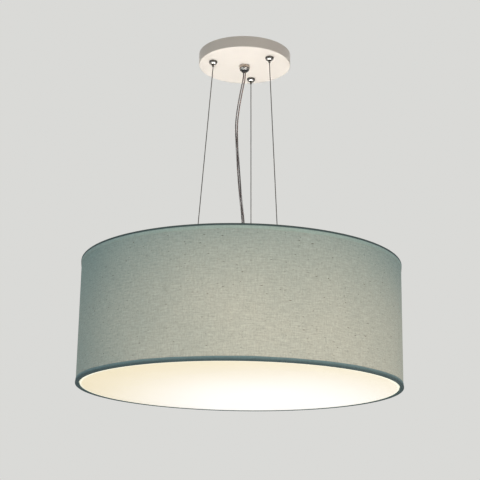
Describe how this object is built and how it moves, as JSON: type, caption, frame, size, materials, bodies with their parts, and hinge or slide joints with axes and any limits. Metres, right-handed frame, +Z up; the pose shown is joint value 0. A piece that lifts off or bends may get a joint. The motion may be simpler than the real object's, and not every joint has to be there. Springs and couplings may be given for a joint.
{
  "type": "drum pendant light",
  "caption": "Fabric drum pendant on suspension wires with a slack flex, round ceiling canopy, screw-in bulbs and a lift-out diffuser.",
  "frame": {"origin": "middle of the ceiling bracket's top face, which lies on the ceiling", "axes": "+Z up out of the ceiling face, the lamp hangs to -Z; -Y is the side seen in the picture; +X to its right"},
  "size_m": [0.5, 0.5, 0.554],
  "materials": {
    "zinc_steel": "zinc plated",
    "canopy_white": "white satin powder coat",
    "screw_steel": "blackened steel",
    "nylon": "natural nylon",
    "nickel": "polished nickel",
    "nickel_dull": "satin nickel",
    "core_brown": "brown core insulation",
    "core_blue": "blue core insulation",
    "clear_flex": "clear sheath over twisted cores",
    "frame_white": "white epoxy coat",
    "liner_white": "white lining film",
    "linen_teal": "teal grey linen weave with dark slubs",
    "trim_teal": "folded cotton tape",
    "opal": "satin opal sheet",
    "spring_steel": "spring steel",
    "wire_steel": "stranded steel wire",
    "holder_white": "white thermoplastic",
    "lead_white": "white lead",
    "cap_metal": "rolled screw thread",
    "globe_opal": "opal globe"
  },
  "bodies": {
    "ceiling": {"ceiling_bracket": "zinc_steel", "canopy": "canopy_white", "canopy_grub_screw_left": "screw_steel", "canopy_grub_screw_right": "screw_steel", "ceiling_terminal_block": "nylon", "ceiling_cable_gland": "nickel", "ceiling_gland_nut": "zinc_steel", "ceiling_core_live": "core_brown", "ceiling_core_neutral": "core_blue", "gripper_cap_1": "nickel", "gripper_barrel_1": "nickel_dull", "gripper_nut_1": "zinc_steel", "gripper_spring_1": "spring_steel", "gripper_cap_2": "nickel", "gripper_barrel_2": "nickel_dull", "gripper_nut_2": "zinc_steel", "gripper_spring_2": "spring_steel", "gripper_cap_3": "nickel", "gripper_barrel_3": "nickel_dull", "gripper_nut_3": "zinc_steel", "gripper_spring_3": "spring_steel"},
    "pendant": {"suspension_wire_1": "wire_steel", "suspension_wire_2": "wire_steel", "suspension_wire_3": "wire_steel", "wire_ferrule_1": "zinc_steel", "wire_ferrule_2": "zinc_steel", "wire_ferrule_3": "zinc_steel", "flex_cable": "clear_flex", "cable_bushing": "nylon", "carrier_plate": "frame_white", "junction_box": "nylon", "lampholder_bracket_1": "zinc_steel", "lampholder_1": "holder_white", "lampholder_lead_1": "lead_white", "shade_thumbscrew_1": "nickel_dull", "lampholder_bracket_2": "zinc_steel", "lampholder_2": "holder_white", "lampholder_lead_2": "lead_white", "shade_thumbscrew_2": "nickel_dull", "lampholder_bracket_3": "zinc_steel", "lampholder_3": "holder_white", "lampholder_lead_3": "lead_white", "shade_thumbscrew_3": "nickel_dull", "shade_spider": "frame_white", "shade_bottom_ring": "frame_white", "shade_liner": "liner_white", "shade_fabric": "linen_teal", "shade_trim_top": "trim_teal", "shade_trim_bottom": "trim_teal"},
    "plunger_1": {"gripper_plunger_1": "nickel"},
    "plunger_2": {"gripper_plunger_2": "nickel"},
    "plunger_3": {"gripper_plunger_3": "nickel"},
    "bulb_1": {"bulb_cap_1": "cap_metal", "bulb_globe_1": "globe_opal"},
    "bulb_2": {"bulb_cap_2": "cap_metal", "bulb_globe_2": "globe_opal"},
    "bulb_3": {"bulb_cap_3": "cap_metal", "bulb_globe_3": "globe_opal"},
    "diffuser": {"diffuser": "opal"}
  },
  "joints": [
    {"name": "height_adjust", "type": "slide", "parent": "ceiling", "child": "pendant", "axis": [0, 0, 1], "range_m": [0, 0.2], "deforming": ["suspension_wire_1", "suspension_wire_2", "suspension_wire_3", "flex_cable"]},
    {"name": "gripper_release_1", "type": "slide", "parent": "ceiling", "child": "plunger_1", "axis": [0, 0, 1], "range_m": [0, 0.002], "stiffness_N_per_m": 500, "springref_m": -0.003, "deforming": ["gripper_spring_1"]},
    {"name": "gripper_release_2", "type": "slide", "parent": "ceiling", "child": "plunger_2", "axis": [0, 0, 1], "range_m": [0, 0.002], "stiffness_N_per_m": 500, "springref_m": -0.003, "deforming": ["gripper_spring_2"]},
    {"name": "gripper_release_3", "type": "slide", "parent": "ceiling", "child": "plunger_3", "axis": [0, 0, 1], "range_m": [0, 0.002], "stiffness_N_per_m": 500, "springref_m": -0.003, "deforming": ["gripper_spring_3"]},
    {"name": "bulb_unscrew_1", "type": "hinge", "parent": "pendant", "child": "bulb_1", "pos_m": [0.0428, 0.01391, -0.445], "axis": [0.9511, 0.309, 0], "range_deg": [0, 1080]},
    {"name": "bulb_unscrew_2", "type": "hinge", "parent": "pendant", "child": "bulb_2", "pos_m": [-0.03344, 0.03011, -0.445], "axis": [-0.7431, 0.6691, 0], "range_deg": [0, 1080]},
    {"name": "bulb_unscrew_3", "type": "hinge", "parent": "pendant", "child": "bulb_3", "pos_m": [-0.00936, -0.04402, -0.445], "axis": [-0.2079, -0.9781, 0], "range_deg": [0, 1080]},
    {"name": "diffuser_lift", "type": "slide", "parent": "pendant", "child": "diffuser", "axis": [0, 0, 1], "range_m": [0, 0.03]}
  ]
}
